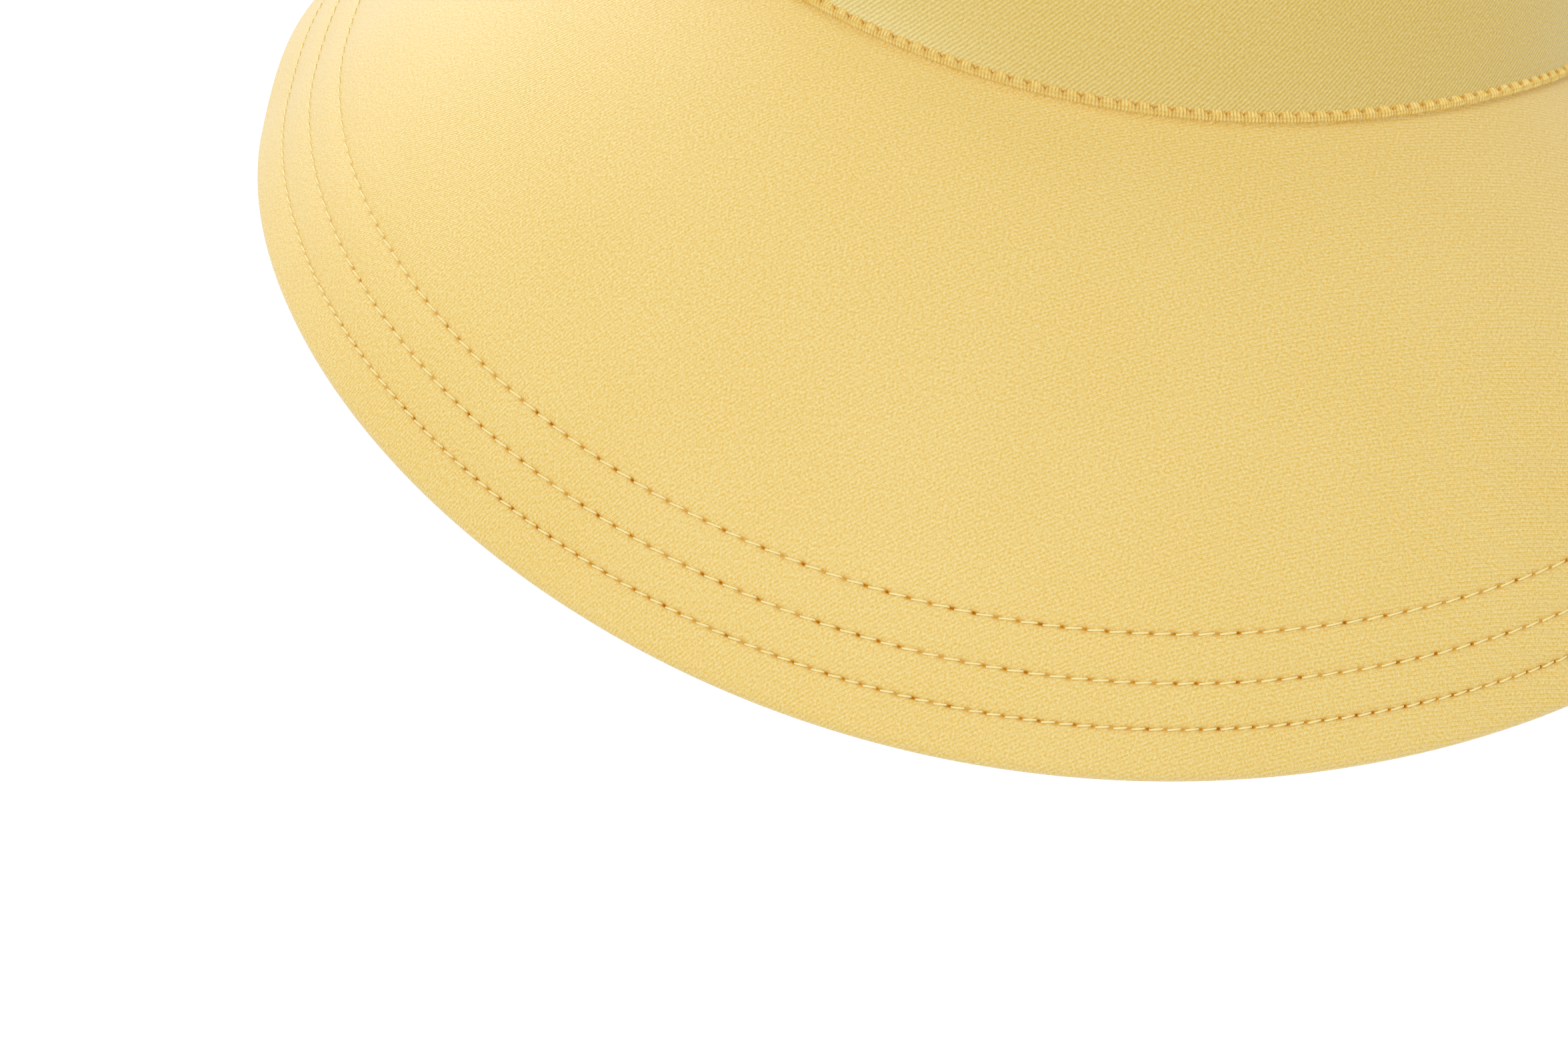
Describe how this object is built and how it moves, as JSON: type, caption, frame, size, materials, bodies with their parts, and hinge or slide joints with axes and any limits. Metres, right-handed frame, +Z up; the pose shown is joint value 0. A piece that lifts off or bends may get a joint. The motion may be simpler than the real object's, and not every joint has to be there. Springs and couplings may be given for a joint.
{
  "type": "sun visor",
  "caption": "Wide-brim fabric sun visor with an open crown, drooping stitched brim, tall band and a hook-and-loop strap at the back.",
  "frame": {"origin": "midway between the temples, at the centre of the head opening's front half, level with the front of the seam between brim and band", "axes": "+Z up through the open crown, -Y the way the visor faces, +X to the wearer's left"},
  "size_m": [0.269, 0.2632, 0.1449],
  "materials": {
    "brim_fabric": "pale yellow satin-twill knit, soft sheen",
    "brim_under_fabric": "the same pale yellow knit, matt side",
    "insert_board": "flexible white sheet, hidden",
    "thread": "yellow polyester sewing thread",
    "piping": "rolled knit",
    "band_fabric": "greener yellow twill knit",
    "lining_fabric": "plain light lining",
    "sweatband_fabric": "soft brushed knit",
    "label": "blank woven tape",
    "loop_pile": "looped pile",
    "hook_pile": "moulded hooks"
  },
  "bodies": {
    "visor": {"brim_top_panel": "brim_fabric", "brim_insert": "insert_board", "brim_under_panel": "brim_under_fabric", "needle_thread_outer": "thread", "needle_thread_middle": "thread", "needle_thread_inner": "thread", "bobbin_thread_outer": "thread", "bobbin_thread_middle": "thread", "bobbin_thread_inner": "thread", "seam_piping": "piping", "band_outer_panel": "band_fabric", "band_interlining": "insert_board", "band_lining": "lining_fabric", "sweatband": "sweatband_fabric", "sweatband_stitch": "thread", "top_binding": "band_fabric", "binding_stitch": "thread", "size_label": "label"},
    "strap": {"adjusting_strap": "band_fabric", "loop_tape": "loop_pile"},
    "tail": {"closure_tail": "band_fabric", "hook_tape": "hook_pile"}
  },
  "joints": [
    {"name": "strap_size", "type": "hinge", "parent": "visor", "child": "strap", "pos_m": [0, 0.03, 0.018], "axis": [0, 0, 1], "range_deg": [-12, 12]},
    {"name": "tail_peel", "type": "hinge", "parent": "visor", "child": "tail", "pos_m": [-0.0445, 0.09852, 0.018], "axis": [0, 0, 1], "range_deg": [0, 110]}
  ]
}
